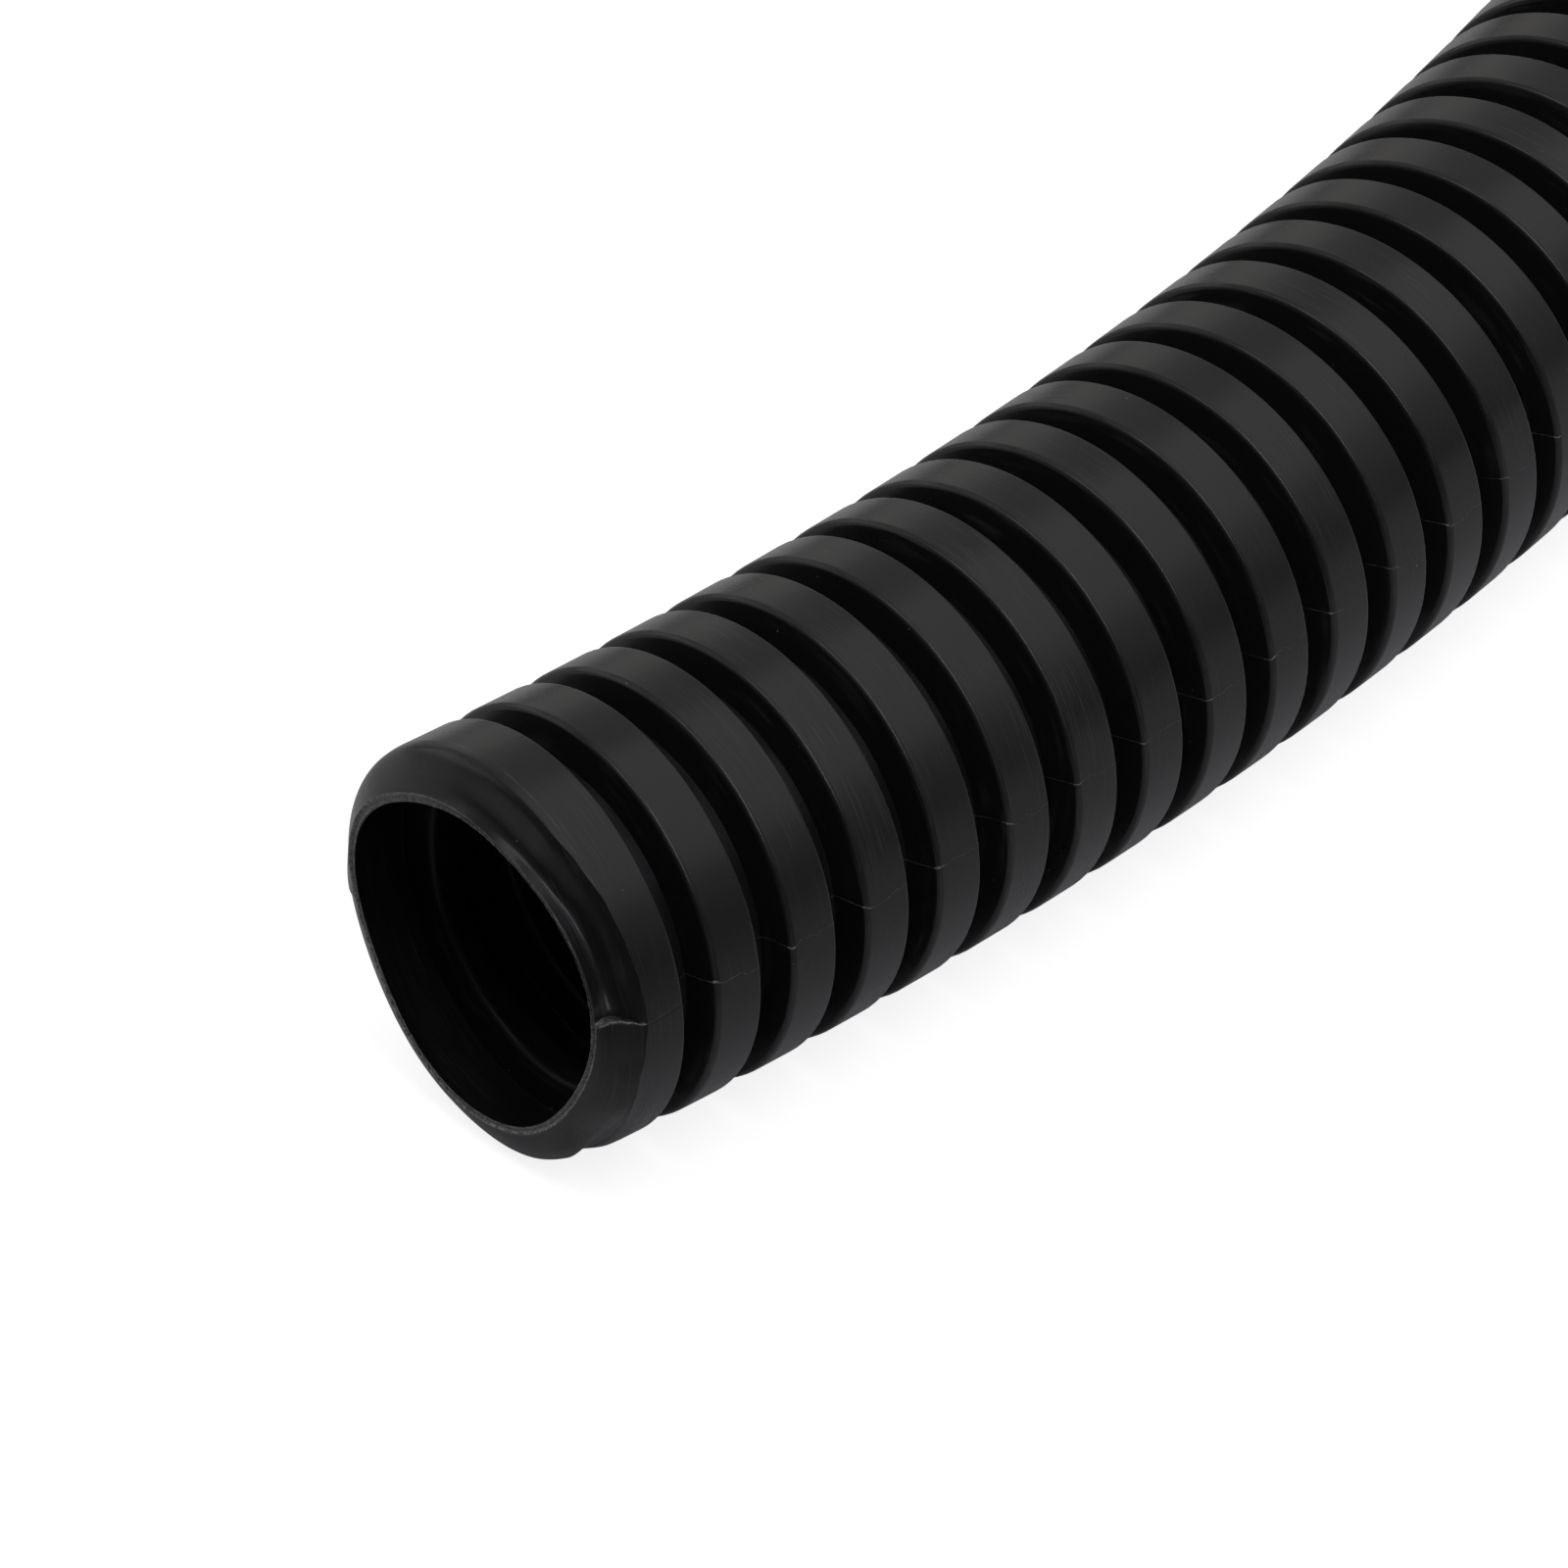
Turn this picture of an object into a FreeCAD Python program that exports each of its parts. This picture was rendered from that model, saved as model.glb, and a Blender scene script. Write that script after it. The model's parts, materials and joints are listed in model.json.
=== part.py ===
"""Corrugated cable conduit: one length of thin-walled black plastic tube, cut from a coil.

Millimetres, +Z up. The tube lies on the floor (z = 0) and keeps the round set of the coil, so its
axis is one arc in a level plane. The origin is the middle of the footprint, on the floor. The first
cut end looks along -Y and the tube leads away from it along +Y, curving to the left.
"""
import FreeCAD, Part
import math
import os

from FreeCAD import Vector

# Sizes of the stock: the bore between the waves, the skin, and how deep, wide and steep a wave is
bore_diameter = 16.5
wall = 0.4
wave_depth = 1.95
pitch = 4.475
crest_land = 2.0
flank_draft = 8.0

# The piece: its length along the axis, the coil it was cut from, and the plain neck left by the saw
stock_length = 1000.0
coil_radius = 235.0
cut_neck = 1.3

# What follows from them: 21.2 over the crests
bore_radius = bore_diameter / 2
root_radius = bore_radius + wall
crest_radius = root_radius + wave_depth
convolutions = int((stock_length - cut_neck) // pitch)
bend_step = math.degrees(pitch / coil_radius)

AXIS = Vector(0, 1, 0)
UP = Vector(0, 0, 1)


def flank_points():
    """Give the two corners that the wall is folded round, as (along the axis, off the axis)."""
    draft = math.radians(flank_draft)
    crest_corner = (crest_land / 2, crest_radius - wall)
    flank_top = crest_corner[1] + wall * math.sin(draft)
    flank_run = (flank_top - root_radius) * math.tan(draft)
    root_corner = (crest_corner[0] + wall * math.cos(draft) + flank_run, root_radius)
    return crest_corner, root_corner


def at(along, off):
    """Give a point of the section, drawn below the axis so that every seam runs underneath."""
    return Vector(0, along, -off)


def rounded(corner, side, first, last):
    """Draw the arc of one wall's thickness around a corner, from one angle to another."""

    def on_arc(angle):
        turn = math.radians(angle)
        return at(corner[0] * side + wall * math.sin(turn), corner[1] + wall * math.cos(turn))

    return Part.Arc(on_arc(first), on_arc((first + last) / 2), on_arc(last)).toShape()


def end_of(edge, point_index):
    """Give one end point of an edge, in the edge's own direction."""
    return edge.Vertexes[point_index].Point


def crest_outside(crest_corner, root_corner):
    """Draw the outer line of one crest: foot, flank, rounded edge, flat, rounded edge, flank, foot."""
    flank_angle = 90 - flank_draft
    front_edge = rounded(crest_corner, -1, -flank_angle, 0)
    back_edge = rounded(crest_corner, 1, 0, flank_angle)
    front_flank = Part.makeLine(at(-root_corner[0], root_corner[1]), end_of(front_edge, 0))
    flat = Part.makeLine(end_of(front_edge, -1), end_of(back_edge, 0))
    back_flank = Part.makeLine(end_of(back_edge, -1), at(*root_corner))
    return Part.Wire([front_flank, front_edge, flat, back_edge, back_flank])


def crest_inside(crest_corner, root_corner):
    """Draw the inner line of one crest, one wall inside the outer line."""
    flank_angle = 90 - flank_draft
    front_foot = rounded(root_corner, -1, 180, 180 - flank_angle)
    back_foot = rounded(root_corner, 1, 180 + flank_angle, 180)
    front_flank = Part.makeLine(end_of(front_foot, -1), at(-crest_corner[0], crest_corner[1]))
    roof = Part.makeLine(at(-crest_corner[0], crest_corner[1]), at(*crest_corner))
    back_flank = Part.makeLine(at(*crest_corner), end_of(back_foot, 0))
    return Part.Wire([front_foot, front_flank, roof, back_flank, back_foot])


def spun(profile):
    """Turn a line of the section once around the axis of its own crest."""
    return profile.revolve(Vector(0, 0, 0), AXIS, 360)


def root_ring(radius, along):
    """Draw the circle of a root at a place along the axis, starting underneath like every seam."""
    return Part.Vertex(at(along, radius)).revolve(Vector(0, 0, 0), AXIS, 360)


def bent_root(root_corner):
    """Bend the two skins of a root from one crest's foot to the next: all the bend is in the roots."""
    half_step = math.radians(bend_step) / 2
    hinge = Vector(root_corner[0] / math.tan(half_step) - coil_radius, root_corner[0], 0)
    skins = []
    for radius in (root_radius, bore_radius):
        skins += root_ring(radius, root_corner[0]).revolve(hinge, UP, bend_step).Faces
    return skins


def cut_end(root_corner, side):
    """Make the plain neck past the last crest, and the flat ring that the saw left on it."""
    foot = side * root_corner[0]
    lip = foot + side * cut_neck
    skins = []
    for radius in (root_radius, bore_radius):
        line = Part.makeLine(at(foot, radius), at(lip, radius))
        skins += line.revolve(Vector(0, 0, 0), AXIS, 360).Faces
    ring_line = Part.makeLine(at(lip, bore_radius), at(lip, root_radius))
    skins += ring_line.revolve(Vector(0, 0, 0), AXIS, 360).Faces
    return skins


def conduit():
    """Set the crests one after another along the coil's arc and close them into one solid."""
    crest_corner, root_corner = flank_points()
    crest = spun(crest_outside(crest_corner, root_corner)).Faces
    crest += spun(crest_inside(crest_corner, root_corner)).Faces
    root = bent_root(root_corner)
    coil_centre = Vector(-coil_radius, 0, 0)
    last = convolutions - 1
    skins = cut_end(root_corner, -1)
    for number in range(convolutions):
        faces = crest if number == last else crest + root
        for face in faces:
            copy = face.copy()
            copy.rotate(coil_centre, UP, number * bend_step)
            skins.append(copy)
    for face in cut_end(root_corner, 1):
        face.rotate(coil_centre, UP, last * bend_step)
        skins.append(face)
    shell = Part.Compound(skins)
    shell.sewShape()
    return Part.Solid(shell.Shells[0])


def laid_down(solid):
    """Lay the tube on the floor with the middle of its footprint at the origin."""
    box = Part.Compound(solid.Edges).BoundBox
    solid.translate(Vector(-box.Center.x, -box.Center.y, crest_radius))
    return solid


os.makedirs("parts", exist_ok=True)
tube = laid_down(conduit())
tube.exportStep("parts/corrugated_conduit.step")
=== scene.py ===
import json
import math

import bmesh
import bpy
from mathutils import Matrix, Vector, noise


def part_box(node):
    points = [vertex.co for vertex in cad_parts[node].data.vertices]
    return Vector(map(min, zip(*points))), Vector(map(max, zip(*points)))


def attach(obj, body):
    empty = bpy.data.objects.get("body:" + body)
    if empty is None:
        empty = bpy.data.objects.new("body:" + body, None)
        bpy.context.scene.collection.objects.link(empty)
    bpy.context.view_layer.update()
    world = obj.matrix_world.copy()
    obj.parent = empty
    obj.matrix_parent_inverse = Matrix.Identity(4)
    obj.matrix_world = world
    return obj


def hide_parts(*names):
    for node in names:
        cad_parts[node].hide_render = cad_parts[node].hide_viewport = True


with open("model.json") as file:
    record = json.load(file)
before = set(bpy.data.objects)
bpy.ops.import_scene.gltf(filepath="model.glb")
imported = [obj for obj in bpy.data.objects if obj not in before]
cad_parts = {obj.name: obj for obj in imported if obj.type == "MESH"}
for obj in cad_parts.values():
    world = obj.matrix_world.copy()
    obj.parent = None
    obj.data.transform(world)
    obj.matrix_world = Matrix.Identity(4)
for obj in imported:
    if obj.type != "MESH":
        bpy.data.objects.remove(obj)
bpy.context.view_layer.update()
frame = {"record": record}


# The plastic is a soft black polypropylene, blown against polished moulds that drew fine lines round
# the tube. The crests have short scuffs, and their front edges are painted paler as a painted highlight.
# The saw left the cut matt and a little white, that pale colour is also a painted highlight on the seam's
# flash, and a few grains of dust sit on it.
def add(tree, kind, inputs=None, **settings):
    """A node of a tree with its settings, its inputs taken from other nodes or plain values."""
    made = tree.nodes.new(kind)
    for name, value in settings.items():
        setattr(made, name, value)
    for key, value in (inputs or {}).items():
        if isinstance(value, bpy.types.Node):
            value = value.outputs[0]
        if isinstance(value, bpy.types.NodeSocket):
            tree.links.new(value, made.inputs[key])
        else:
            made.inputs[key].default_value = value
    return made


def maths(tree, operation, first, second=0.0):
    return add(tree, "ShaderNodeMath", {0: first, 1: second}, operation=operation)


def streaks(tree, place, round_it, along_it, detail):
    """Noise drawn out round the tube: features per metre round it and along it."""
    drawn_out = add(tree, "ShaderNodeMapping", {"Vector": place, "Scale": (round_it, along_it, round_it)})
    return add(tree, "ShaderNodeTexNoise", {"Vector": drawn_out, "Scale": 1.0, "Detail": detail})


def limits(tree, value, low, high):
    """A mask that rises from 0 to 1 as the value goes from low to high."""
    return add(tree, "ShaderNodeMapRange", {"Value": value, "From Min": low, "From Max": high})


def tinted(tree, amount, under, over):
    """One colour over another by an amount; a colour may be a node."""
    mixed = add(tree, "ShaderNodeMix", {"Factor": amount}, data_type="RGBA")
    for number, colour in ((6, under), (7, over)):
        if isinstance(colour, bpy.types.Node):
            tree.links.new(colour.outputs[2], mixed.inputs[number])
        else:
            mixed.inputs[number].default_value = colour
    return mixed


mm = 0.001
pitch = 4.475 * mm
front_edge = 1.27 * mm
edge_highlight_width = 0.09 * mm
edge_highlight_radii = (10.50 * mm, 10.55 * mm)
line_depth = 0.01 * mm
deep_black = (0.0070, 0.0069, 0.0071, 1)
soft_black = (0.0100, 0.0098, 0.0101, 1)
scuff_grey = (0.024, 0.024, 0.025, 1)
# The grey of the painted highlight on the crests' front edges
edge_highlight_grey = (0.030, 0.030, 0.031, 1)
sawn_and_highlight_grey = (0.040, 0.040, 0.041, 1)
crumb_and_highlight_white = (0.24, 0.236, 0.23, 1)
dust_grey = (0.28, 0.28, 0.27, 1)
skin_roughness = (0.24, 0.32)
sawn_roughness = 0.45
scuffs_add = 0.1
inside_adds = 0.08
outside_shine, inside_shine = 0.28, 0.13
black_skin = bpy.data.materials.new("moulded_black_plastic")
black_skin.use_nodes = True
tree = black_skin.node_tree
place = add(tree, "ShaderNodeAttribute", attribute_name="straightened").outputs["Vector"]
sawn_and_highlight = add(tree, "ShaderNodeAttribute", attribute_name="sawn_and_highlight").outputs["Fac"]
inside = add(tree, "ShaderNodeAttribute", attribute_name="inside").outputs["Fac"]
cloudy = add(tree, "ShaderNodeTexNoise", {"Vector": place, "Scale": 260.0, "Detail": 3.0})
pebble = add(tree, "ShaderNodeTexNoise", {"Vector": place, "Scale": 5200.0, "Detail": 2.0})
lines = streaks(tree, place, 60, 9000, 2.0)
worn_here = limits(tree, add(tree, "ShaderNodeTexNoise", {"Vector": place, "Scale": 120.0}), 0.42, 0.62)
scuffs = maths(tree, "MULTIPLY", limits(tree, streaks(tree, place, 260, 14000, 1.0), 0.58, 0.72), worn_here)
grains = add(tree, "ShaderNodeTexVoronoi", {"Vector": place, "Scale": 900.0})
few = limits(tree, grains.outputs["Color"], 0.70, 0.72)
dust = maths(tree, "MULTIPLY", limits(tree, grains.outputs["Distance"], 0.036, 0.026), few)
crumbs = limits(tree, streaks(tree, place, 6000, 9000, 2.0), 0.35, 0.65)
of_place = add(tree, "ShaderNodeSeparateXYZ", {0: place})
flattened = add(tree, "ShaderNodeCombineXYZ", {0: of_place.outputs[0], 2: of_place.outputs[2]})
from_axis = add(tree, "ShaderNodeVectorMath", {0: flattened}, operation="LENGTH").outputs["Value"]
# Painted highlight: a thin band at the front edge of each crest is painted paler, standing in for the light
# line it catches.
from_edge = maths(tree, "PINGPONG", maths(tree, "ADD", of_place.outputs[1], front_edge), pitch / 2)
on_crest = limits(tree, from_axis, *edge_highlight_radii)
edge_highlight = maths(tree, "MULTIPLY", limits(tree, from_edge, edge_highlight_width, 0), on_crest)
edge_highlight = maths(tree, "MULTIPLY", edge_highlight, limits(tree, streaks(tree, place, 700, 3000, 2.0), 0.38, 0.62))
black = tinted(tree, cloudy, deep_black, soft_black)
scuffed = tinted(tree, scuffs, black, scuff_grey)
with_edge_highlight = tinted(tree, edge_highlight, scuffed, edge_highlight_grey)
# The pale colour of the cut, which is also a painted highlight on the seam's flash, its bead and its nubs
sawn_white_and_highlight = tinted(tree, crumbs, sawn_and_highlight_grey, crumb_and_highlight_white)
with_sawn_and_highlight = tinted(tree, sawn_and_highlight, with_edge_highlight, sawn_white_and_highlight)
dusted = tinted(tree, dust, with_sawn_and_highlight, dust_grey)
satin = add(tree, "ShaderNodeMapRange",
            {"Value": cloudy, "To Min": skin_roughness[0], "To Max": skin_roughness[1]})
dulled = maths(tree, "MAXIMUM", satin, maths(tree, "MULTIPLY", sawn_and_highlight, sawn_roughness))
by_use = maths(tree, "ADD", dulled, maths(tree, "MULTIPLY", scuffs, scuffs_add))
rough = maths(tree, "ADD", by_use, maths(tree, "MULTIPLY", inside, inside_adds))
relief = maths(tree, "ADD", maths(tree, "MULTIPLY", lines, 0.7), maths(tree, "MULTIPLY", pebble, 0.3))
bump = add(tree, "ShaderNodeBump", {"Height": relief, "Strength": 0.35, "Distance": line_depth})
skin_shader = tree.nodes["Principled BSDF"]
skin_shader.inputs["IOR"].default_value = 1.5
shine = add(tree, "ShaderNodeMapRange", {"Value": inside, "To Min": outside_shine, "To Max": inside_shine})
tree.links.new(shine.outputs[0], skin_shader.inputs["Specular IOR Level"])
tree.links.new(dusted.outputs[2], skin_shader.inputs["Base Color"])
tree.links.new(rough.outputs[0], skin_shader.inputs["Roughness"])
tree.links.new(bump.outputs[0], skin_shader.inputs["Normal"])


# The waves. The hose is blown by air into pairs of half moulds that travel with it, so it comes out
# as equal waves with a thin wall, joined end to end. The tube was coiled while it was warm and
# keeps that bend: each wave is a straight ring, and the roots between them are wedges.
first_mount, second_mount = [
    next(mount for mount in frame["record"]["mounts"] if mount["name"] == name)
    for name in ("first_end", "second_end")
]
first_crest = Vector(first_mount["pos_m"])
last_crest = Vector(second_mount["pos_m"])
crest_radius = first_mount["dims"]["r_mm"] * mm
box_low, box_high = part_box("corrugated_conduit")
coil_radius = (box_high.x - box_low.x) / 2 - crest_radius
coil_centre = first_crest - Vector((coil_radius, 0, 0))
wave_depth = 1.95 * mm
wall = 0.4 * mm
crest_land = 2.0 * mm
flank_slope = math.tan(math.radians(8))
root_radius = crest_radius - wave_depth
bore_radius = root_radius - wall
half_wave = pitch / 2
turn = pitch / coil_radius
last_turn = math.atan2(last_crest.y - coil_centre.y, last_crest.x - coil_centre.x) % math.tau
last_wave = round(last_turn / turn)


def flank_inside(out):
    """How far from the middle of a crest its flank is, on the inside, at a radius."""
    return crest_land / 2 - (out - crest_radius + wall) * flank_slope


def flank_outside(out):
    return flank_inside(out) + wall * math.hypot(1, flank_slope)


foot = flank_outside(root_radius)
brow = flank_outside(crest_radius)
inner_foot = flank_inside(bore_radius)
roof_corner = crest_land / 2
front_rounding = 0.3 * mm
back_rounding = 0.15 * mm
crisp = math.radians(60)
roof_rounding = 0.07 * mm
beside_arc = 0.04 * mm
weld_distance = 0.002 * mm
unevenness = 0.02 * mm
# Corners of a section line: along the tube, out from its axis, rounding, steps of the rounding
outside_corners = [
    (-half_wave, root_radius, 0, 0),
    (-foot, root_radius, 0, 0),
    (-brow, crest_radius, front_rounding, 5),
    (brow, crest_radius, back_rounding, 4),
    (foot, root_radius, 0, 0),
    (half_wave, root_radius, 0, 0),
]
inside_corners = [
    (-half_wave, bore_radius, 0, 0),
    (-inner_foot, bore_radius, wall, 3),
    (-roof_corner, crest_radius - wall, roof_rounding, 1),
    (roof_corner, crest_radius - wall, roof_rounding, 1),
    (inner_foot, bore_radius, wall, 3),
    (half_wave, bore_radius, 0, 0),
]


def rounded_line(corners, most_steps, margin=0.0):
    """A line through corners, each rounded one a short arc; a margin adds a point on either side of it."""
    line = []
    for number, (along, out, rounding, steps) in enumerate(corners):
        corner = Vector((along, out))
        if not rounding:
            line.append(corner)
            continue
        before = (Vector(corners[number - 1][:2]) - corner).normalized()
        after = (Vector(corners[number + 1][:2]) - corner).normalized()
        half = before.angle(after) / 2
        reach = rounding / math.tan(half)
        centre = corner + (before + after).normalized() * rounding / math.sin(half)
        first = corner + before * reach - centre
        last = corner + after * reach - centre
        start = math.atan2(first.y, first.x)
        sweep = (math.atan2(last.y, last.x) - start + math.pi) % math.tau - math.pi
        steps = min(steps, most_steps)
        if margin:
            line.append(corner + before * (reach + margin))
        for step in range(steps + 1):
            angle = start + sweep * step / steps
            line.append(centre + rounding * Vector((math.cos(angle), math.sin(angle))))
        if margin:
            line.append(corner + after * (reach + margin))
    return line


def new_tree(name, sockets):
    """An empty Geometry Nodes tree with its named inputs, and its first node."""
    tree = bpy.data.node_groups.new(name, "GeometryNodeTree")
    tree.interface.new_socket("Geometry", in_out="INPUT", socket_type="NodeSocketGeometry")
    for label, kind in sockets:
        tree.interface.new_socket(label, in_out="INPUT", socket_type="NodeSocket" + kind)
    tree.interface.new_socket("Geometry", in_out="OUTPUT", socket_type="NodeSocketGeometry")
    return tree, tree.nodes.new("NodeGroupInput").outputs


def in_scene(name, data):
    """A new object of the scene, which stands at the origin."""
    thing = bpy.data.objects.new(name, data)
    bpy.context.scene.collection.objects.link(thing)
    return thing


def made_by(tree, name, mesh, values):
    """The plain object that a tree makes from a drawn line and its named values."""
    piece = in_scene(name, mesh)
    modifier = piece.modifiers.new("shape", "NODES")
    modifier.node_group = tree
    for label, value in values.items():
        modifier[tree.interface.items_tree[label].identifier] = value
    graph = bpy.context.evaluated_depsgraph_get()
    result = bpy.data.meshes.new_from_object(piece.evaluated_get(graph), depsgraph=graph)
    result.name = name
    piece.modifiers.clear()
    piece.data = result
    return piece


def is_conduit(piece):
    """The piece stands for the tube and moves with it."""
    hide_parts("corrugated_conduit")
    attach(piece, "root")


def store(tree, geometry, name, value, kind):
    return add(tree, "GeometryNodeStoreNamedAttribute",
               {"Geometry": geometry, "Name": name, "Value": value}, data_type=kind)


def stored(tree, name, kind):
    return add(tree, "GeometryNodeInputNamedAttribute", {"Name": name}, data_type=kind)


def vector_of(tree, x=0.0, y=0.0, z=0.0):
    return add(tree, "ShaderNodeCombineXYZ", {0: x, 1: y, 2: z})


def wedged(tree, given, along, outward):
    """Distance along the tube once the root's part of it is opened or closed by the bend."""
    past_foot = maths(tree, "SUBTRACT", maths(tree, "ABSOLUTE", along), given["Foot"])
    root_part = maths(tree, "SUBTRACT", maths(tree, "MULTIPLY", given["Pitch"], 0.5), given["Foot"])
    share = maths(tree, "MAXIMUM", maths(tree, "DIVIDE", past_foot, root_part), 0)
    lean = maths(tree, "MULTIPLY", share, maths(tree, "DIVIDE", outward, given["Coil Radius"]))
    return maths(tree, "ADD", along, maths(tree, "MULTIPLY", along, lean))


# A run of waves from the section lines of one: the lines turned round the tube's axis, with the
# root ends cut to the wedge, then that ring repeated about the middle of the coil.
of_a_run = [
    ("Waves", "Int"), ("First Wave", "Int"), ("Sides", "Int"), ("Pitch", "Float"), ("Foot", "Float"),
    ("Coil Radius", "Float"), ("Coil Centre", "Vector"), ("Turn", "Float"), ("Plastic", "Material"),
]
wave_tree, given = new_tree("run_of_waves", of_a_run + [
    ("Outside Points", "Int"), ("Inside Points", "Int"), ("Unevenness", "Float"),
])


def skin(count, start, inside):
    """A grid laid round the axis, a row of it to each side and a point of it to each line point."""
    tree = wave_tree
    grid = add(tree, "GeometryNodeMeshGrid",
               {"Vertices X": maths(tree, "ADD", given["Sides"], 1), "Vertices Y": count})
    index = add(tree, "GeometryNodeInputIndex")
    row = maths(tree, "FLOOR", maths(tree, "DIVIDE", maths(tree, "ADD", index, 0.5), count))
    in_row = maths(tree, "SUBTRACT", index, maths(tree, "MULTIPLY", row, count))
    drawn = add(tree, "GeometryNodeSampleIndex",
                {"Geometry": given["Geometry"], "Value": add(tree, "GeometryNodeInputPosition"),
                 "Index": maths(tree, "ADD", in_row, start)}, data_type="FLOAT_VECTOR")
    line = add(tree, "ShaderNodeSeparateXYZ", {0: drawn})
    along, out = line.outputs[0], line.outputs[1]
    angle = maths(tree, "MULTIPLY", maths(tree, "DIVIDE", row, given["Sides"]), math.tau)
    outward = maths(tree, "MULTIPLY", out, maths(tree, "COSINE", angle))
    upward = maths(tree, "MULTIPLY", out, maths(tree, "SINE", angle))
    kept = store(tree, grid, "straightened", vector_of(tree, outward, along, upward), "FLOAT_VECTOR")
    kept = store(tree, kept, "inside", inside, "FLOAT")
    from_middle = maths(tree, "ADD", given["Coil Radius"], outward)
    placed = vector_of(tree, from_middle, wedged(tree, given, along, outward), upward)
    return add(tree, "GeometryNodeSetPosition", {"Geometry": kept, "Position": placed})


outer_skin = add(wave_tree, "GeometryNodeFlipFaces", {0: skin(given["Outside Points"], 0, 0.0)})
inner_skin = skin(given["Inside Points"], given["Outside Points"], 1.0)
one_wave = add(wave_tree, "GeometryNodeJoinGeometry")
wave_tree.links.new(outer_skin.outputs[0], one_wave.inputs[0])
wave_tree.links.new(inner_skin.outputs[0], one_wave.inputs[0])
places = add(wave_tree, "GeometryNodePoints", {"Count": given["Waves"], "Position": given["Coil Centre"]})
wave_number = maths(wave_tree, "ADD", add(wave_tree, "GeometryNodeInputIndex"), given["First Wave"])
numbered = store(wave_tree, places, "wave", wave_number, "FLOAT")
wave_turn = vector_of(wave_tree, z=maths(wave_tree, "MULTIPLY", wave_number, given["Turn"]))
repeated = add(wave_tree, "GeometryNodeInstanceOnPoints",
               {"Points": numbered, "Instance": one_wave, "Rotation": wave_turn})
run = add(wave_tree, "GeometryNodeRealizeInstances", {0: repeated})
own_place = stored(wave_tree, "straightened", "FLOAT_VECTOR")
wave_start = maths(wave_tree, "MULTIPLY", stored(wave_tree, "wave", "FLOAT"), given["Pitch"])
along_tube = add(wave_tree, "ShaderNodeVectorMath",
                 {0: own_place, 1: vector_of(wave_tree, y=wave_start)}, operation="ADD")
run = store(wave_tree, run, "straightened", along_tube, "FLOAT_VECTOR")
run = add(wave_tree, "GeometryNodeMergeByDistance", {"Geometry": run, "Distance": weld_distance})
uneven = add(wave_tree, "ShaderNodeTexNoise", {"Vector": own_place, "Scale": 170.0, "Detail": 1.0})
inward = maths(wave_tree, "MULTIPLY", maths(wave_tree, "MULTIPLY", uneven, given["Unevenness"]), -1)
sunk = add(wave_tree, "ShaderNodeVectorMath",
           {0: add(wave_tree, "GeometryNodeInputNormal"), "Scale": inward}, operation="SCALE")
run = add(wave_tree, "GeometryNodeSetPosition", {"Geometry": run, "Offset": sunk})
run = add(wave_tree, "GeometryNodeSetShadeSmooth", {"Geometry": run})
run = add(wave_tree, "GeometryNodeSetMaterial", {"Geometry": run, "Material": given["Plastic"]})
add(wave_tree, "NodeGroupOutput", {0: run})


def drawn_lines(name, *lines):
    """A mesh of loose lines in the plane: x along the tube, y out from its axis."""
    points = [tuple(point) + (0,) * (3 - len(point)) for line in lines for point in line]
    edges = []
    start = 0
    for line in lines:
        edges += [(start + k, start + k + 1) for k in range(len(line) - 1)]
        start += len(line)
    mesh = bpy.data.meshes.new(name)
    mesh.from_pydata(points, edges, [])
    return mesh


def close_ends(mesh):
    """The run's two open ends closed by flat rings between its skins."""
    shape = bmesh.new()
    shape.from_mesh(mesh)
    ends = {}
    for edge in shape.edges:
        if len(edge.link_faces) == 1:
            middle = (edge.verts[0].co + edge.verts[1].co) / 2 - coil_centre
            angle = math.atan2(middle.y, middle.x) % math.tau
            ends.setdefault(math.floor(angle / turn), []).append(edge)
    for edges in ends.values():
        bmesh.ops.bridge_loops(shape, edges=edges)
    shape.to_mesh(mesh)
    shape.free()


def bend_values(first, count, sides):
    return {
        "Waves": count, "First Wave": first, "Sides": sides, "Pitch": pitch, "Foot": foot,
        "Coil Radius": coil_radius, "Coil Centre": coil_centre, "Turn": turn, "Plastic": black_skin,
    }


def run_of_waves(name, first, count, sides, most_steps, margin):
    outside = rounded_line(outside_corners, most_steps, margin)
    inside = rounded_line(inside_corners, most_steps)
    piece = made_by(wave_tree, name, drawn_lines(name + "_line", outside, inside), {
        **bend_values(first, count, sides),
        "Outside Points": len(outside), "Inside Points": len(inside), "Unevenness": unevenness,
    })
    close_ends(piece.data)
    piece.data.set_sharp_from_angle(angle=crisp)
    is_conduit(piece)


near_waves, near_sides, near_steps = 22, 96, 4
run_of_waves("waves_near_the_first_end", 1, near_waves, near_sides, near_steps, beside_arc)
far_waves = last_wave - 1 - near_waves
far_runs, far_sides, far_steps = 4, 60, 2
for number in range(far_runs):
    first = 1 + near_waves + far_waves * number // far_runs
    after = 1 + near_waves + far_waves * (number + 1) // far_runs
    run_of_waves(f"waves_of_stretch_{number + 1}", first, after - first, far_sides, far_steps, 0)


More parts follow.
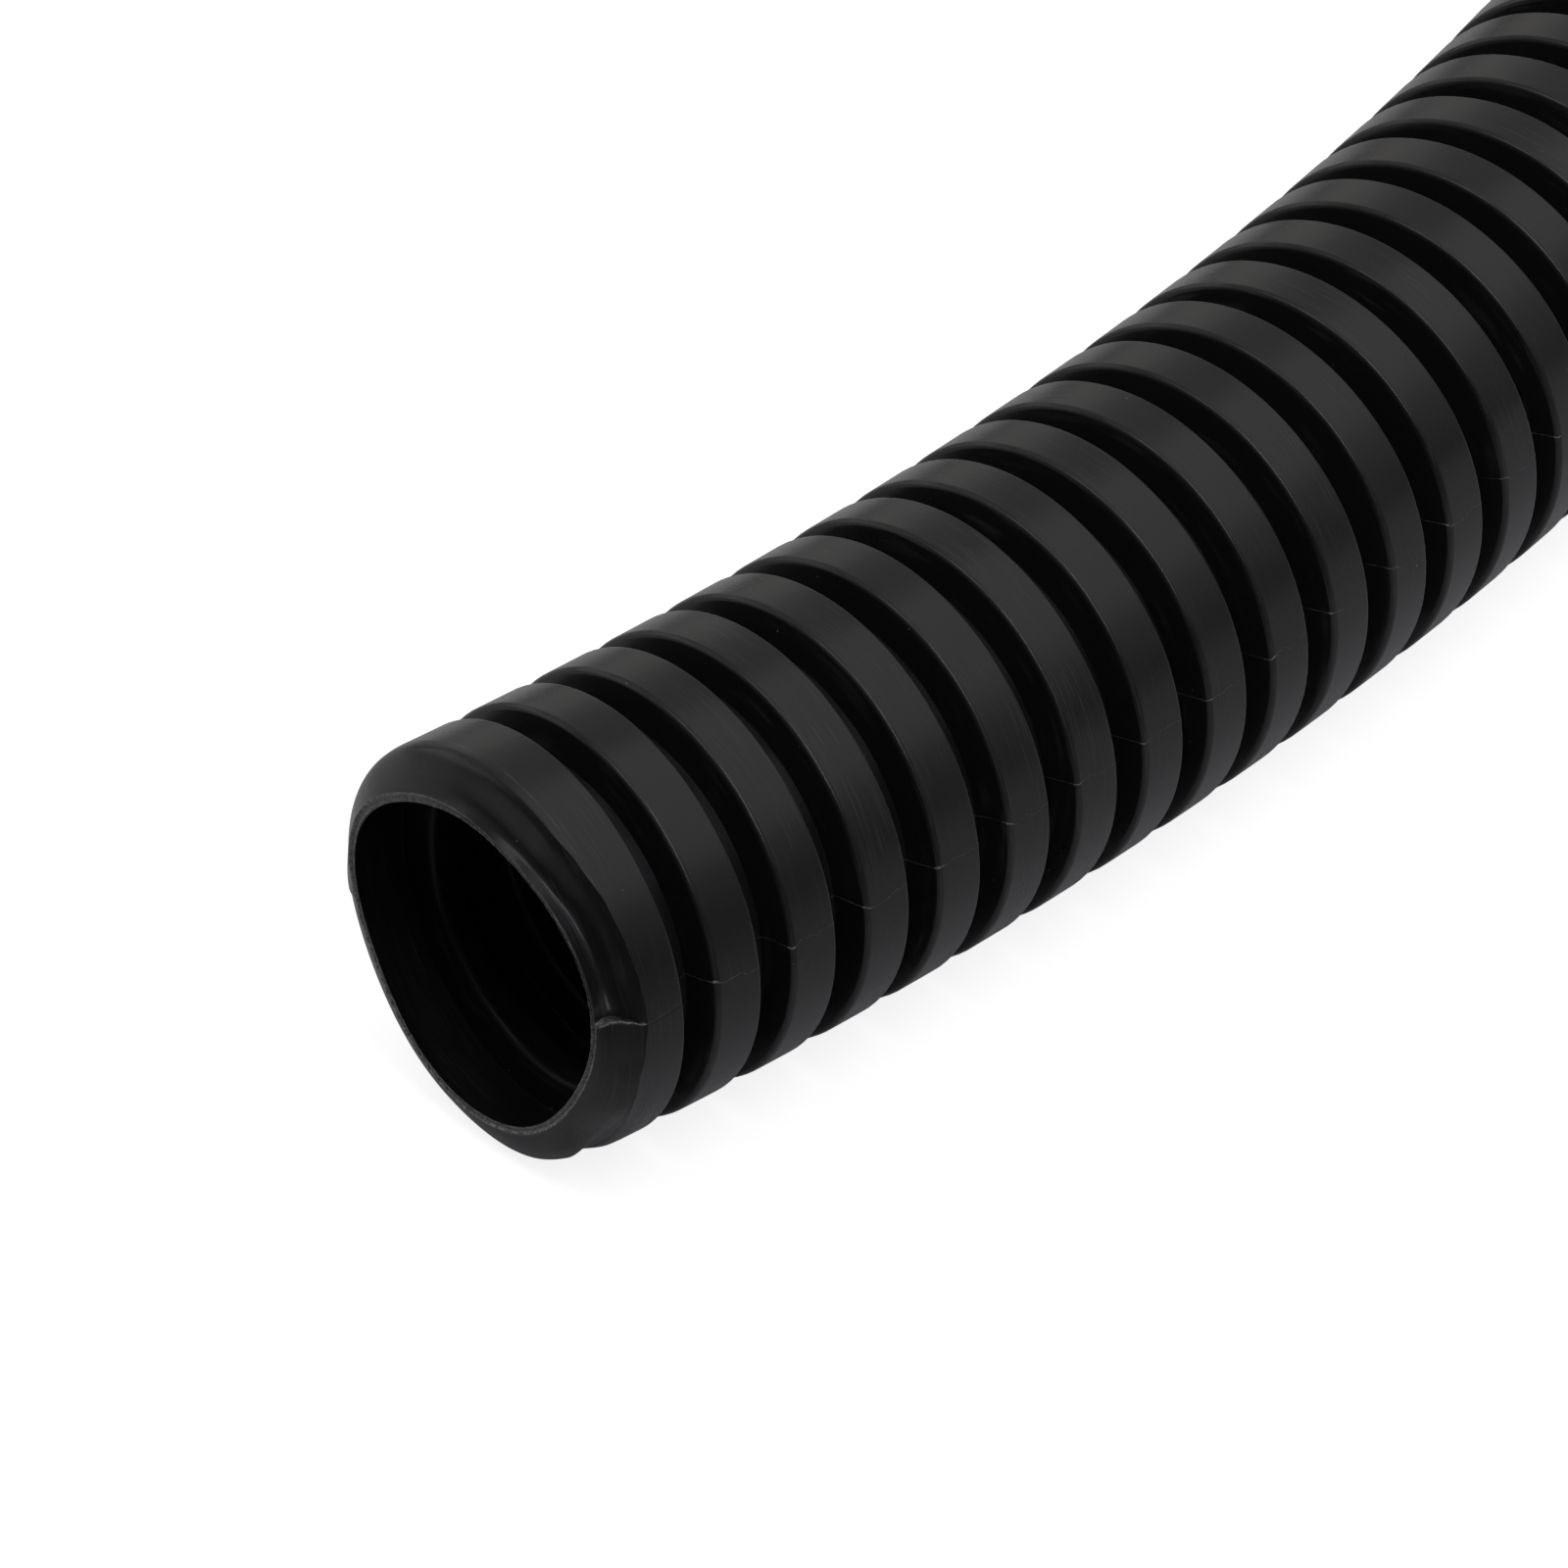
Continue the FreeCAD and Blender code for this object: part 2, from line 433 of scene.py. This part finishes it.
# The mould lines. Where the two half moulds met, a hair of plastic was squeezed out all along the
# tube, on the outside of the bend and on the inside. It is thin and jagged on the crests and ends
# in a small nub at the front edge of each.
hair_radius = 0.034 * mm
nub_radius = 0.085 * mm
nub_length = 0.28 * mm
sunk_share = 0.5
wander = math.radians(6)
wobbles_per_metre = 900
rags_per_metre = 2600
wave_apart = 3.7
line_tree, given = new_tree("mould_line", of_a_run + [
    ("Seam", "Float"), ("Wander", "Float"), ("Seed", "Float"),
])
line_curve = add(line_tree, "GeometryNodeMeshToCurve", {"Mesh": given["Geometry"]})
drawn_at = add(line_tree, "GeometryNodeInputPosition")
line_curve = store(line_tree, line_curve, "section", drawn_at, "FLOAT_VECTOR")
places = add(line_tree, "GeometryNodePoints", {"Count": given["Waves"]})
wave_number = maths(line_tree, "ADD", add(line_tree, "GeometryNodeInputIndex"), given["First Wave"])
numbered = store(line_tree, places, "wave", wave_number, "FLOAT")
repeated = add(line_tree, "GeometryNodeInstanceOnPoints", {"Points": numbered, "Instance": line_curve})
hair = add(line_tree, "GeometryNodeRealizeInstances", {0: repeated})
own_wave = stored(line_tree, "wave", "FLOAT")
section = add(line_tree, "ShaderNodeSeparateXYZ", {0: stored(line_tree, "section", "FLOAT_VECTOR")})
along, out, thickness = section.outputs
of_wave = maths(line_tree, "ADD", maths(line_tree, "MULTIPLY", own_wave, wave_apart), given["Seed"])
wobble = add(line_tree, "ShaderNodeTexNoise",
             {"Vector": vector_of(line_tree, maths(line_tree, "MULTIPLY", along, wobbles_per_metre), of_wave),
              "Scale": 1.0, "Detail": 2.5, "Roughness": 0.65})
aside = maths(line_tree, "MULTIPLY", maths(line_tree, "SUBTRACT", wobble, 0.5), given["Wander"])
angle = maths(line_tree, "ADD", given["Seam"], aside)
outward = maths(line_tree, "MULTIPLY", out, maths(line_tree, "COSINE", angle))
upward = maths(line_tree, "MULTIPLY", out, maths(line_tree, "SINE", angle))
from_middle = maths(line_tree, "ADD", given["Coil Radius"], outward)
in_ring = vector_of(line_tree, from_middle, wedged(line_tree, given, along, outward), upward)
wave_turn = maths(line_tree, "MULTIPLY", own_wave, given["Turn"])
turned = add(line_tree, "ShaderNodeVectorRotate", {"Vector": in_ring, "Angle": wave_turn},
             rotation_type="Z_AXIS")
placed = add(line_tree, "ShaderNodeVectorMath", {0: turned, 1: given["Coil Centre"]}, operation="ADD")
along_tube = maths(line_tree, "ADD", along, maths(line_tree, "MULTIPLY", own_wave, given["Pitch"]))
on_tube = vector_of(line_tree, outward, along_tube, upward)
hair = store(line_tree, hair, "straightened", on_tube, "FLOAT_VECTOR")
# Painted highlight: the hair is painted paler, most of all at its nub.
nub_highlight_share = add(line_tree, "ShaderNodeMapRange",
                {"Value": thickness, "From Min": hair_radius, "From Max": nub_radius,
                 "To Min": 0.15, "To Max": 0.7})
hair = store(line_tree, hair, "sawn_and_highlight", nub_highlight_share, "FLOAT")
hair = add(line_tree, "GeometryNodeSetPosition", {"Geometry": hair, "Position": placed})
rag_place = vector_of(line_tree, maths(line_tree, "MULTIPLY", along, rags_per_metre), of_wave, 5.0)
ragged = add(line_tree, "ShaderNodeTexNoise", {"Vector": rag_place, "Scale": 1.0})
share = add(line_tree, "ShaderNodeMapRange",
            {"Value": ragged, "From Min": 0.35, "From Max": 0.65, "To Min": 0.45, "To Max": 1.0})
round_hair = add(line_tree, "GeometryNodeCurvePrimitiveCircle", {"Resolution": given["Sides"], "Radius": 1.0})
hair_size = maths(line_tree, "MULTIPLY", thickness, share)
hair = add(line_tree, "GeometryNodeCurveToMesh",
           {"Curve": hair, "Profile Curve": round_hair, "Scale": hair_size, "Fill Caps": True})
hair = add(line_tree, "GeometryNodeSetShadeSmooth", {"Geometry": hair})
hair = add(line_tree, "GeometryNodeSetMaterial", {"Geometry": hair, "Material": given["Plastic"]})
add(line_tree, "NodeGroupOutput", {0: hair})


def hair_line(most_steps, spacing):
    """The wave's outside with points closer together, a hair's radius at each, thicker at the nub."""
    line = rounded_line(outside_corners, most_steps)
    closer = []
    for start, end in zip(line, line[1:]):
        count = max(1, round((end - start).length / spacing))
        closer += [start.lerp(end, step / count) for step in range(count)]
    hair = []
    for point in closer + line[-1:]:
        by_the_nub = math.exp(-((point - Vector((-brow, crest_radius))).length / nub_length) ** 2)
        radius = hair_radius + (nub_radius - hair_radius) * by_the_nub
        hair.append((point.x, point.y - sunk_share * radius, radius))
    return hair


def mould_line(name, first, count, seam, sides, most_steps, spacing):
    piece = made_by(line_tree, name, drawn_lines(name + "_line", hair_line(most_steps, spacing)), {
        **bend_values(first, count, sides),
        "Seam": math.radians(seam), "Wander": wander, "Seed": seam,
    })
    is_conduit(piece)


outer_seam, inner_seam = 8.5, 189.0
near_hair = {"sides": 6, "most_steps": 4, "spacing": 0.14 * mm}
far_hair = {"sides": 4, "most_steps": 1, "spacing": 0.5 * mm}
for seam, side in ((outer_seam, "outside"), (inner_seam, "inside")):
    mould_line(f"mould_line_{side}_near", 1, near_waves, seam, **near_hair)
    mould_line(f"mould_line_{side}_far", 1 + near_waves, far_waves, seam, **far_hair)


# The cut ends. The tube is sawn off through a root, and the short neck that is left springs a little
# out of round. On the first end the saw leaned on the crest behind the cut: above the mould seam a
# thin lip stands in front of it, below it the wall is folded back into a cone and a round shoulder.
cut_reach = foot + 1.3 * mm
clearance = 0.03 * mm
# Behind the rim: where a lip's fold ends, where its spring has died out, where the wall is even again
fold = 1.6 * mm
rim_settled = 2.3 * mm
settled = 3.85 * mm
waist_start, waist_full = 1.0 * mm, 1.5 * mm
waist_fade, waist_end = 1.9 * mm, 2.6 * mm
# Turns round the mouth in degrees: even ones up to a gap at each seam, then close ones
mouth_sides = 260
seam_gap = 1.2
close_to_seam = (-1.0, -0.65, -0.45, -0.35, -0.25, -0.1, 0.1, 0.25, 0.4, 0.7, 1.0)
seam_pull = 9
# The bead of plastic on the outer seam and the nub where it meets the rim, in degrees past the seam
bead_place, bead_width, bead_height = -0.36, 0.17, 0.09 * mm
nub_place, nub_width, nub_reach, rim_nub_height = -0.2, 0.5, 0.13 * mm, 0.07 * mm
# The nub on the rim is painted pale, a painted highlight.
nub_highlight = 0.8
lumps_per_mm = 3.1
scratch_depth = 0.05 * mm
# The saw's nicks and chatter, by the place on the rim in mm
rim_in_mm = 9
nicks_per_mm, nick_from, nick_depth = 4.5, 0.2, 0.12 * mm
chatter_per_mm, chatter_depth = 6, 0.035 * mm
white_above_seam = 0.55
seam_blend = 1.2
# Across the sawn wall, from its outside: share of the wall, depth and how white the saw left it
cut_face = (
    (0.93, -0.03 * mm, 1.0), (0.80, -0.02 * mm, 1.0), (0.65, 0.05 * mm, 0.7),
    (0.45, 0.06 * mm, 0.4), (0.25, -0.02 * mm, 0.6), (0.07, -0.04 * mm, 0.6),
)


def in_mm(*pairs):
    return [Vector(pair) * mm for pair in pairs]


# Each lip by its outside and inside lines: behind the rim, out from the axis. Points of the same
# number mean the same place on every lip, so that one lip can pass into the next.
thin_lip = (
    in_mm((0, 8.65), (0.28, 8.65), (0.53, 8.66), (0.74, 8.73), (0.91, 8.91), (1.05, 9.19), (1.17, 9.53),
          (1.28, 9.85), (1.38, 10.11), (1.48, 10.30), (1.58, 10.42), (1.66, 10.53), (1.71, 10.59),
          (2.3, 10.6), (3.85, 10.6)),
    in_mm((0, 8.446), (0.4, 8.43), (0.8, 8.45), (1.1, 8.60), (1.32, 9.0), (1.5, 9.5), (1.7, 9.93),
          (1.95, 10.13), (2.3, 10.2), (3.85, 10.2)),
)
side_lip = (
    in_mm((0, 8.97), (0.10, 9.12), (0.22, 9.32), (0.36, 9.54), (0.52, 9.79), (0.68, 10.02), (0.86, 10.25),
          (1.04, 10.42), (1.22, 10.52), (1.40, 10.56), (1.55, 10.575), (1.65, 10.58), (1.75, 10.59),
          (2.3, 10.6), (3.85, 10.6)),
    in_mm((0, 8.446), (0.25, 8.82), (0.5, 9.2), (0.75, 9.55), (1.0, 9.83), (1.25, 10.02), (1.5, 10.13),
          (1.9, 10.18), (2.3, 10.2), (3.85, 10.2)),
)
slim_shoulder = (
    in_mm((0, 8.86), (0.07, 9.08), (0.16, 9.31), (0.28, 9.55), (0.43, 9.80), (0.60, 10.01), (0.80, 10.19),
          (1.02, 10.32), (1.25, 10.40), (1.46, 10.44), (1.60, 10.45), (1.72, 10.49), (1.84, 10.57),
          (2.3, 10.6), (3.85, 10.6)),
    in_mm((0, 8.446), (0.22, 8.82), (0.45, 9.25), (0.7, 9.57), (0.95, 9.8), (1.2, 9.95), (1.5, 10.03),
          (1.9, 10.12), (2.3, 10.2), (3.85, 10.2)),
)
round_shoulder = (
    in_mm((0, 8.85), (0.05, 9.20), (0.14, 9.58), (0.28, 9.97), (0.46, 10.25), (0.68, 10.41), (0.90, 10.48),
          (1.12, 10.52), (1.33, 10.54), (1.48, 10.54), (1.60, 10.54), (1.72, 10.56), (1.82, 10.585),
          (2.3, 10.6), (3.85, 10.6)),
    in_mm((0, 8.446), (0.15, 8.75), (0.38, 9.3), (0.62, 9.75), (0.9, 9.98), (1.2, 10.04), (1.5, 10.06),
          (1.9, 10.12), (2.3, 10.2), (3.85, 10.2)),
)
straight_cone = (
    in_mm((0, 8.85), (0.07, 9.06), (0.18, 9.28), (0.34, 9.50), (0.54, 9.70), (0.76, 9.88), (0.99, 10.05),
          (1.21, 10.21), (1.41, 10.35), (1.56, 10.44), (1.66, 10.50), (1.74, 10.55), (1.82, 10.585),
          (2.3, 10.6), (3.85, 10.6)),
    in_mm((0, 8.446), (0.25, 8.74), (0.5, 9.03), (0.75, 9.30), (1.0, 9.54), (1.25, 9.75), (1.5, 9.92),
          (1.9, 10.10), (2.3, 10.2), (3.85, 10.2)),
)


def smooth_line(points, steps):
    """Points on a smooth line through the given ones, some steps to each stretch of it."""
    ends = [2 * points[0] - points[1]] + points + [2 * points[-1] - points[-2]]
    line = []
    for a, b, c, d in zip(ends, ends[1:], ends[2:], ends[3:]):
        for step in range(steps):
            t = step / steps
            line.append(0.5 * (2 * b + (c - a) * t + (2 * a - 5 * b + 4 * c - d) * t * t
                               + (3 * b - a - 3 * c + d) * t ** 3))
    return line + [points[-1]]


def eased(share):
    return share * share * (3 - 2 * share)


def between(stops, place, mix):
    """The value at a place between stops (place, value), which are in order."""
    for (start, before), (end, after) in zip(stops, stops[1:]):
        if place <= end:
            return mix(before, after, eased(max(0, place - start) / (end - start)))
    return stops[-1][1]


def mixed_number(one, other, share):
    return one + (other - one) * share


def mixed_lip(one, other, share):
    return [[p.lerp(q, share) for p, q in zip(*lines)] for lines in zip(one, other)]


full_side = mixed_lip(side_lip, round_shoulder, 0.5)
above_the_step = mixed_lip(thin_lip, straight_cone, 0.5)


def clamped(value):
    return min(max(value, 0), 1)


def mouth_turns():
    """The turns round the mouth in degrees, closer together at both seams."""
    seams = (outer_seam, inner_seam)
    turns = [360 * side / mouth_sides for side in range(mouth_sides)]
    turns = [degrees for degrees in turns if min(abs(degrees - seam) for seam in seams) > seam_gap]
    return sorted(turns + [seam + step for seam in seams for step in close_to_seam])


def shaped(point, most, fold_here, spring, pinch):
    """Where a point of a lip goes, behind the rim and out, with the fold, spring and pinch of its turn."""
    behind = point.x
    if behind < fold:
        behind *= fold_here / fold
    else:
        behind = fold_here + (behind - fold) * (settled - fold_here) / (settled - fold)
    fade = max(0, 1 - point.x / rim_settled) ** 2
    pinched = clamped((behind - waist_start) / (waist_full - waist_start))
    pinched *= clamped((waist_end - behind) / (waist_end - waist_fade))
    return behind, min(point.y + spring * fade, most - clearance) - pinch * pinched


def wall_section(degrees, lip, bends, backs, seed):
    """The wall at one turn as a closed line: along the tube, out from its axis, and how pale: the cut's own
    white, and on the seam's bead and nub a painted highlight.
    """
    outside, inside = lip
    back_outside, back_inside = backs
    fold_here, spring, pinch = bends
    angle = math.radians(degrees)
    from_seam = degrees - outer_seam
    bead = math.exp(-((from_seam - bead_place) / bead_width) ** 2)
    by_nub = math.exp(-((from_seam - nub_place) / nub_width) ** 2)
    below_seam = eased(clamped(0.5 - seam_blend * math.sin(angle - math.radians(outer_seam))))
    section = [(point.x, point.y - bead * scratch_depth, 0.0) for point in reversed(back_outside)]
    for point in reversed(outside):
        behind, out = shaped(point, crest_radius, fold_here, spring, pinch)
        if point.x < fold:
            lumps = 0.6 + 0.8 * noise.noise(Vector((behind / mm * lumps_per_mm, seed, 0)))
            by_rim = by_nub * math.exp(-(point.x / nub_reach) ** 2)
            raised = bead * bead_height * lumps + by_rim * rim_nub_height
            # The bead and the rim's nub take the cut's pale colour as a painted highlight.
            section.append((behind - cut_reach, out + raised, max(bead, nub_highlight * by_rim)))
        else:
            section.append((behind - cut_reach, out - bead * scratch_depth, 0.0))
    on_rim = Vector((math.cos(angle) * rim_in_mm, math.sin(angle) * rim_in_mm, seed))
    nick = max(0, noise.noise(on_rim * nicks_per_mm) - nick_from) * nick_depth
    inner_edge = inside[0].y + spring - nick
    thickness = outside[0].y + spring - inner_edge
    for share, depth, white in cut_face:
        chatter = noise.noise(on_rim * chatter_per_mm + Vector((0, 0, share * 5))) * chatter_depth
        whiter = white * mixed_number(white_above_seam, 1, below_seam)
        section.append((depth + chatter - cut_reach, inner_edge + thickness * share, whiter))
    for point in inside:
        behind, out = shaped(point, crest_radius - wall, fold_here, spring, pinch)
        section.append((behind - cut_reach, out, 0.0))
    return section + [(point.x, point.y, 0.0) for point in back_inside]


def cut_end(name, crest_turn, facing, lips, folds, out_of_round, waist, seam_path, seed):
    """One cut end with its first crest. facing is -1 where the cut looks back along the tube.

    lips and folds have their stops round the mouth in degrees. out_of_round has the waves round the
    rim: their number, their size in mm and the turn of a peak. waist is the depth of the pinch in
    mm, its turn and its width, and seam_path how far aside the seam lies at each mm from the rim.
    """
    start = lips[0][0]
    lips = [(place, [smooth_line(outside, 3), smooth_line(inside, 2)]) for place, (outside, inside) in lips]
    a_little_in = [(along, min(out, crest_radius - clearance), *arc) for along, out, *arc in outside_corners]
    backs = [
        [point for point in rounded_line(corners, steps, beside_arc) if point.x > settled - cut_reach]
        for corners, steps in ((a_little_in, 5), (inside_corners, 4))
    ]
    outward_way = Vector((math.cos(crest_turn), math.sin(crest_turn), 0))
    along_way = Vector((-math.sin(crest_turn), math.cos(crest_turn), 0))
    deepest, deepest_place, waist_width = waist
    turns = mouth_turns()
    points, straight, sawn_and_highlight_marks = [], [], []
    for degrees in turns:
        past_start = (degrees - start) % 360 + start
        angle = math.radians(degrees)
        spring = mm * sum(size * math.cos(order * (angle - math.radians(peak)))
                          for order, size, peak in out_of_round)
        from_waist = (degrees - deepest_place + 180) % 360 - 180
        pinch = deepest * mm * math.exp(-(from_waist / waist_width) ** 2)
        bends = (between(folds, past_start, mixed_number), spring, pinch)
        section = wall_section(degrees, between(lips, past_start, mixed_lip), bends, backs, seed)
        by_seam = max(0, 1 - abs(degrees - outer_seam) / seam_pull) ** 2
        for along, out, white in section:
            aside = by_seam * between(seam_path, (along + cut_reach) / mm, mixed_number)
            around = angle + math.radians(aside)
            outward, upward = out * math.cos(around), out * math.sin(around)
            straight += [outward, -facing * along + crest_turn / turn * pitch, upward]
            lean = max(0, (along - foot) / (half_wave - foot)) * outward / coil_radius
            from_centre = outward_way * (coil_radius + outward) - along_way * facing * along * (1 + lean)
            points.append(coil_centre + from_centre + Vector((0, 0, upward)))
            sawn_and_highlight_marks.append(white)
    ring = len(points) // len(turns)
    on_inside = len(lips[0][1][1]) + len(backs[1])
    inside_marks = ([0.0] * (ring - on_inside) + [1.0] * on_inside) * len(turns)
    faces = []
    for side in range(len(turns)):
        here, there = side * ring, (side + 1) % len(turns) * ring
        for k in range(ring):
            after = (k + 1) % ring
            quad = [here + k, here + after, there + after, there + k]
            faces.append(quad if facing > 0 else quad[::-1])
    mesh = bpy.data.meshes.new(name)
    mesh.from_pydata(points, [], faces)
    mesh.attributes.new("straightened", "FLOAT_VECTOR", "POINT").data.foreach_set("vector", straight)
    mesh.attributes.new("sawn_and_highlight", "FLOAT", "POINT").data.foreach_set("value", sawn_and_highlight_marks)
    mesh.attributes.new("inside", "FLOAT", "POINT").data.foreach_set("value", inside_marks)
    mesh.shade_smooth()
    mesh.set_sharp_from_angle(angle=crisp)
    mesh.materials.append(black_skin)
    is_conduit(in_scene(name, mesh))


step_width = 0.12
above_seam = outer_seam + step_width
below_seam = outer_seam + 360 - step_width
cut_end(
    "first_cut_end", 0, -1,
    lips=((above_seam, above_the_step), (above_seam + 12, thin_lip), (66, thin_lip), (120, side_lip),
          (174, side_lip), (inner_seam - step_width, full_side), (inner_seam + step_width, slim_shoulder),
          (255, slim_shoulder), (296, round_shoulder), (304, round_shoulder), (324, straight_cone),
          (below_seam, straight_cone), (above_seam + 360, above_the_step)),
    folds=[(place, behind * mm) for place, behind in (
        (above_seam, 2.05), (20, 2.0), (30, 1.87), (41, 1.72), (53, 1.4), (65, 1.13), (80, 1.05),
        (100, 1.1), (120, 1.3), (140, 1.6), (290, 1.6), (310, 2.0), (325, 1.75), (340, 1.45),
        (350, 1.5), (360, 1.8), (above_seam + 360, 2.05))],
    out_of_round=((1, 0.12, -48), (2, 0.26, 10.5), (3, 0.345, 30), (4, 0.086, 0), (5, 0.084, 20.7)),
    waist=(0.28, -48, 24),
    seam_path=((-1, 1.6), (0, 1.8), (0.45, 2.7), (0.85, 2.4), (1.3, 1.2), (1.95, -0.5), (2.35, -0.8),
               (2.9, -0.4), (3.4, -0.2), (3.95, 0.5), (4.5, 0.3), (5.1, 0)),
    seed=3.1)
second_fold = 1.88 * mm
cut_end(
    "second_cut_end", last_wave * turn, 1,
    lips=((above_seam, thin_lip), (above_seam + 360, thin_lip)),
    folds=((above_seam, second_fold), (above_seam + 360, second_fold)),
    out_of_round=((2, 0.15, 70), (3, 0.08, 20)),
    waist=(0.1, 60, 30),
    seam_path=((-1, -1.0), (1.5, 0.9), (3.0, -0.4), (5.1, 0)),
    seed=7.7)


# The stage is a white board in a pale room that is darker towards the viewer. For the light it sends back,
# the board is greyer close in front of the tube, a painted shade that the tube reflects. Broad softboxes hang
# overhead and in front, and a narrow one draws the bright line along the crests' front edges.
floor_reach = 12.0
camera_yaw = math.radians(50.44)
board_white, board_shade_grey = 0.66, 0.57
grey_start, grey_full = 0.200, 0.232
grey_till, grey_halved = 0.15, 0.35
shadow_share, board_glow = 0.4, 0.84
floor_mesh = bpy.data.meshes.new("floor")
floor_corners = [(x * floor_reach, y * floor_reach, 0) for x, y in ((-1, -1), (1, -1), (1, 1), (-1, 1))]
floor_mesh.from_pydata(floor_corners, [], [(0, 1, 2, 3)])
floor = in_scene("floor", floor_mesh)
white_board = bpy.data.materials.new("white_board")
white_board.use_nodes = True
tree = white_board.node_tree
tree.nodes.remove(tree.nodes["Principled BSDF"])
on_floor = add(tree, "ShaderNodeSeparateXYZ", {0: add(tree, "ShaderNodeTexCoord").outputs["Object"]})
floor_x, floor_y = on_floor.outputs[0], on_floor.outputs[1]
yaw_sine, yaw_cosine = math.sin(camera_yaw), math.cos(camera_yaw)
to_front = maths(tree, "SUBTRACT",
                 maths(tree, "MULTIPLY", floor_x, yaw_sine), maths(tree, "MULTIPLY", floor_y, yaw_cosine))
to_right = maths(tree, "ADD",
                 maths(tree, "MULTIPLY", floor_x, yaw_cosine), maths(tree, "MULTIPLY", floor_y, yaw_sine))
in_front = limits(tree, to_front, grey_start, grey_full)
not_aside = add(tree, "ShaderNodeMapRange",
                {"Value": to_right, "From Min": grey_till, "From Max": grey_halved,
                 "To Min": 1.0, "To Max": 0.5})
# Painted shade: the board's colour is greyer towards the viewer in front of the tube, and only half as grey
# further to its right.
painted_floor_shade = maths(tree, "MULTIPLY", maths(tree, "MULTIPLY", in_front, not_aside), board_shade_grey)
matt = add(tree, "ShaderNodeBsdfDiffuse", {"Color": maths(tree, "SUBTRACT", board_white, painted_floor_shade)})
shade = add(tree, "ShaderNodeBsdfDiffuse", {"Color": (shadow_share, shadow_share, shadow_share, 1)})
glow = add(tree, "ShaderNodeEmission", {"Color": (1, 1, 1, 1), "Strength": board_glow})
seen = add(tree, "ShaderNodeAddShader", {0: shade, 1: glow})
floor_mesh.materials.append(white_board)


def shown_to_camera(tree, seen, others, output):
    """One surface for the camera and another for the light."""
    path = add(tree, "ShaderNodeLightPath")
    either = add(tree, "ShaderNodeMixShader", {0: path.outputs["Is Camera Ray"], 1: others, 2: seen})
    tree.links.new(either.outputs[0], tree.nodes[output].inputs["Surface"])


shown_to_camera(tree, seen, matt, "Material Output")

room_low, room_high = 0.08, 0.48
dark_way = (0.55, -0.83, 0)
dark_share = 0.2
world = bpy.data.worlds.new("pale_room")
bpy.context.scene.world = world
world.use_nodes = True
tree = world.node_tree
room = tree.nodes["Background"]
room.inputs["Color"].default_value = (1, 1, 1, 1)
look = add(tree, "ShaderNodeSeparateXYZ", {0: add(tree, "ShaderNodeTexCoord").outputs["Generated"]})
rising = add(tree, "ShaderNodeMapRange",
             {"Value": look.outputs[2], "From Min": 0.0, "From Max": 0.35,
              "To Min": room_low, "To Max": room_high})
dark_side = add(tree, "ShaderNodeVectorMath",
                {0: add(tree, "ShaderNodeTexCoord").outputs["Generated"], 1: dark_way},
                operation="DOT_PRODUCT").outputs["Value"]
dimmed = add(tree, "ShaderNodeMapRange",
             {"Value": dark_side, "From Min": 0.0, "From Max": 0.8, "To Min": 1.0, "To Max": dark_share})
tree.links.new(maths(tree, "MULTIPLY", rising, dimmed).outputs[0], room.inputs["Strength"])
backdrop = add(tree, "ShaderNodeBackground", {"Color": (1, 1, 1, 1), "Strength": 1.0})
shown_to_camera(tree, backdrop, room, "World Output")

lamps_aim = Vector((0.2, 0, 0))


def soft_lamp(name, place, width, depth, radiance, colour):
    """A softbox; radiance is how bright its face is, 1 being white."""
    light = bpy.data.lights.new(name, "AREA")
    light.shape = "RECTANGLE"
    light.size = width
    light.size_y = depth
    light.color = colour
    light.energy = radiance * math.pi * width * depth
    lamp = in_scene(name, light)
    lamp.location = place
    lamp.rotation_euler = (lamps_aim - Vector(place)).to_track_quat("-Z", "Y").to_euler()
    lamp.visible_camera = False


soft_lamp("overhead_softbox", (0.6, 0.9, 1.5), 2.0, 1.8, 0.7, (0.96, 0.955, 1.0))
soft_lamp("front_softbox", (0.1, -0.6, 1.7), 0.7, 0.7, 2.2, (0.99, 0.98, 1.0))
soft_lamp("back_board", (-1.5, 0.9, 0.5), 1.4, 0.8, 0.3, (1.0, 0.95, 0.88))
soft_lamp("edge_strip", (1.13, -0.26, 1.28), 0.15, 1.2, 11.5, (0.88, 0.89, 1.0))
soft_lamp("left_board", (-1.35, -0.9, 0.5), 1.6, 0.9, 0.7, (1.0, 0.97, 0.92))


# The camera looks down at the first cut end from the outside of the bend, through a long lens.
# Its place is given from the rim's middle, in crest radii.
rim_centre = first_crest - Vector((0, cut_reach, 0))
look_down = math.radians(36.15)
to_the_right = Vector((yaw_cosine, yaw_sine, 0))
straight_ahead = Vector((-yaw_sine, yaw_cosine, 0))
straight_up = Vector((0, 0, 1))
lens = bpy.data.cameras.new("camera")
lens.lens = 360
lens.sensor_width = 36
lens.clip_start = 0.01
camera = in_scene("camera", lens)
from_rim = 1.380 * to_the_right - 55.471 * straight_ahead + 41.495 * straight_up
camera.location = rim_centre + crest_radius * from_rim
camera.rotation_euler = (math.radians(90) - look_down, 0, camera_yaw)
bpy.context.scene.camera = camera
bpy.context.scene.view_settings.view_transform = "Standard"
